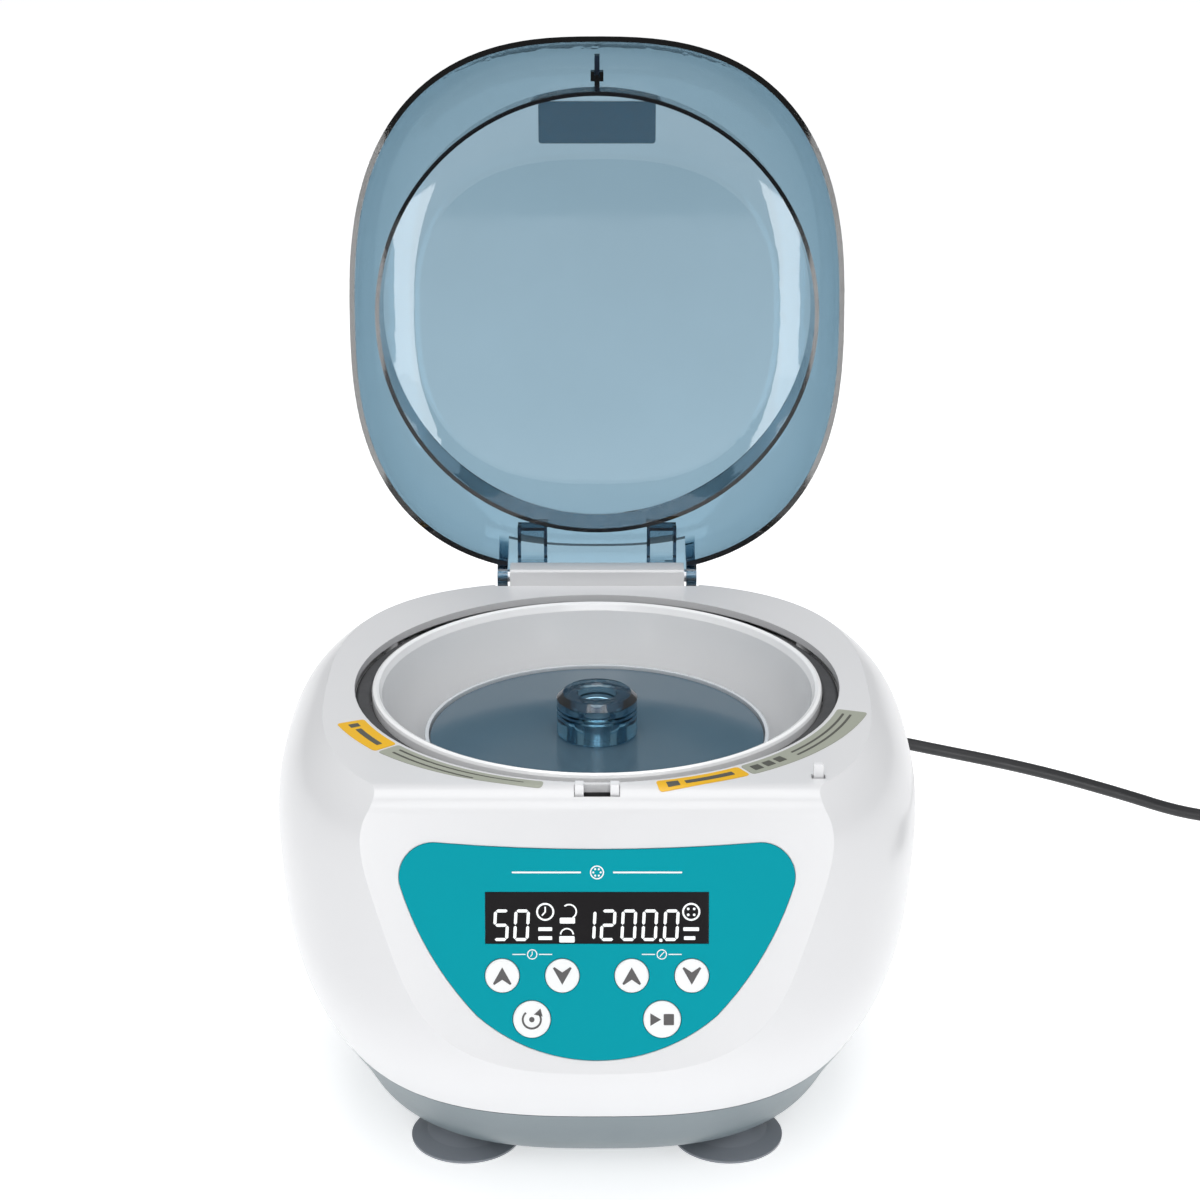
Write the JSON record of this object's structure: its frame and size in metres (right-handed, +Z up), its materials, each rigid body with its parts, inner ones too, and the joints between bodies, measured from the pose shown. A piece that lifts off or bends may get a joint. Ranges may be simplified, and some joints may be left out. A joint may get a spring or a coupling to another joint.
{
  "type": "laboratory centrifuge",
  "caption": "Bench centrifuge with a rounded housing, hinged clear lid, covered fixed-angle rotor, sloping key panel and suction feet.",
  "frame": {"origin": "middle of the housing and open lid's footprint, on the surface the feet stand on", "axes": "+Z up, -Y towards the operator, +X to the operator's right"},
  "size_m": [0.5747, 0.3847, 0.4499],
  "materials": {
    "shell_white": "gloss",
    "base_grey": "satin",
    "foot_rubber": "matte",
    "steel": "satin",
    "bowl_white": "gloss",
    "gasket_rubber": "matte",
    "rotor_grey": "satin",
    "smoked_blue": "gloss",
    "knob_blue": "gloss",
    "lid_blue": "gloss",
    "badge_blue": "satin",
    "latch_white": "satin",
    "overlay_teal": "satin",
    "key_white": "satin",
    "display_black": "gloss",
    "board_green": "satin",
    "black_plastic": "matte",
    "copper": "satin",
    "magnet": "satin",
    "motor_paint": "satin",
    "aluminium": "satin",
    "cord_black": "matte"
  },
  "bodies": {
    "housing": {"upper_housing": "shell_white", "base_housing": "base_grey", "suction_foot_front_left": "foot_rubber", "suction_foot_front_right": "foot_rubber", "suction_foot_back_left": "foot_rubber", "suction_foot_back_right": "foot_rubber", "foot_screws": "steel", "bowl": "bowl_white", "bowl_gasket": "gasket_rubber", "hub_seal": "gasket_rubber", "bowl_screws": "steel", "motor_can": "motor_paint", "motor_end_bell": "aluminium", "motor_bearings": "steel", "motor_stator": "copper", "motor_plate": "steel", "rubber_mounts": "gasket_rubber", "support_pillars": "aluminium", "mount_screws": "steel", "hinge_bracket": "shell_white", "hinge_pins": "steel", "latch_guide": "latch_white", "latch_solenoid": "motor_paint", "lid_microswitch": "black_plastic", "panel_overlay": "overlay_teal", "display_window": "display_black", "display_module": "black_plastic", "control_board": "board_green", "key_switches": "black_plastic", "rear_panel": "black_plastic", "power_inlet": "black_plastic", "switch_frame": "black_plastic", "supply_board": "board_green", "supply_transformer": "copper", "supply_capacitors": "motor_paint", "board_standoffs": "aluminium", "mains_connector": "cord_black", "mains_lead": "cord_black", "mains_coil": "cord_black", "mains_tail": "cord_black", "mains_plug": "cord_black"},
    "lid": {"lid_shell": "lid_blue", "latch_hook": "badge_blue", "lid_badge": "badge_blue"},
    "rotor": {"tube_rotor": "rotor_grey", "drive_hub": "aluminium", "motor_shaft": "steel", "motor_magnet": "magnet"},
    "rotor_cover": {"rotor_cover": "smoked_blue"},
    "rotor_knob": {"rotor_knob": "knob_blue"},
    "latch_bolt": {"latch_bolt": "steel"},
    "lid_sensor_plunger": {"lid_sensor_plunger": "latch_white"},
    "power_rocker": {"power_rocker": "black_plastic"},
    "key_time_up": {"key_time_up": "key_white"},
    "key_time_down": {"key_time_down": "key_white"},
    "key_speed_up": {"key_speed_up": "key_white"},
    "key_speed_down": {"key_speed_down": "key_white"},
    "key_short_spin": {"key_short_spin": "key_white"},
    "key_start_stop": {"key_start_stop": "key_white"}
  },
  "joints": [
    {"name": "lid_hinge", "type": "hinge", "parent": "housing", "child": "lid", "pos_m": [0, 0.1139, 0.192], "axis": [1, 0, 0], "range_deg": [0, 95.5]},
    {"name": "rotor_spin", "type": "hinge", "parent": "housing", "child": "rotor", "pos_m": [0, -0.0147, 0.15], "axis": [0, 0, 1], "continuous": true},
    {"name": "rotor_cover_lift", "type": "slide", "parent": "rotor", "child": "rotor_cover", "axis": [0, 0, -1], "range_m": [-0.06, 0]},
    {"name": "rotor_knob_turn", "type": "hinge", "parent": "rotor_cover", "child": "rotor_knob", "pos_m": [0, -0.0147, 0.175], "axis": [0, 0, 1], "range_deg": [0, 720]},
    {"name": "latch_bolt_slide", "type": "slide", "parent": "housing", "child": "latch_bolt", "axis": [1, 0, 0], "range_m": [0, 0.005], "stiffness_N_per_m": 150},
    {"name": "lid_sensor_press", "type": "slide", "parent": "housing", "child": "lid_sensor_plunger", "axis": [0, 0, -1], "range_m": [0, 0.00505]},
    {"name": "power_rocker_tilt", "type": "hinge", "parent": "housing", "child": "power_rocker", "pos_m": [0.004, 0.1153, 0.085], "axis": [1, 0, 0], "range_deg": [0, 14]},
    {"name": "key_time_up_press", "type": "slide", "parent": "housing", "child": "key_time_up", "axis": [0, 0.9613, -0.2756], "range_m": [0, 0.001], "stiffness_N_per_m": 400},
    {"name": "key_time_down_press", "type": "slide", "parent": "housing", "child": "key_time_down", "axis": [0, 0.9613, -0.2756], "range_m": [0, 0.001], "stiffness_N_per_m": 400},
    {"name": "key_speed_up_press", "type": "slide", "parent": "housing", "child": "key_speed_up", "axis": [0, 0.9613, -0.2756], "range_m": [0, 0.001], "stiffness_N_per_m": 400},
    {"name": "key_speed_down_press", "type": "slide", "parent": "housing", "child": "key_speed_down", "axis": [0, 0.9613, -0.2756], "range_m": [0, 0.001], "stiffness_N_per_m": 400},
    {"name": "key_short_spin_press", "type": "slide", "parent": "housing", "child": "key_short_spin", "axis": [0, 0.9613, -0.2756], "range_m": [0, 0.001], "stiffness_N_per_m": 400},
    {"name": "key_start_stop_press", "type": "slide", "parent": "housing", "child": "key_start_stop", "axis": [0, 0.9613, -0.2756], "range_m": [0, 0.001], "stiffness_N_per_m": 400}
  ],
  "couplings": [
    {"joint": "lid_sensor_press", "follows": "lid_hinge", "m_per_rad": 0.003}
  ]
}
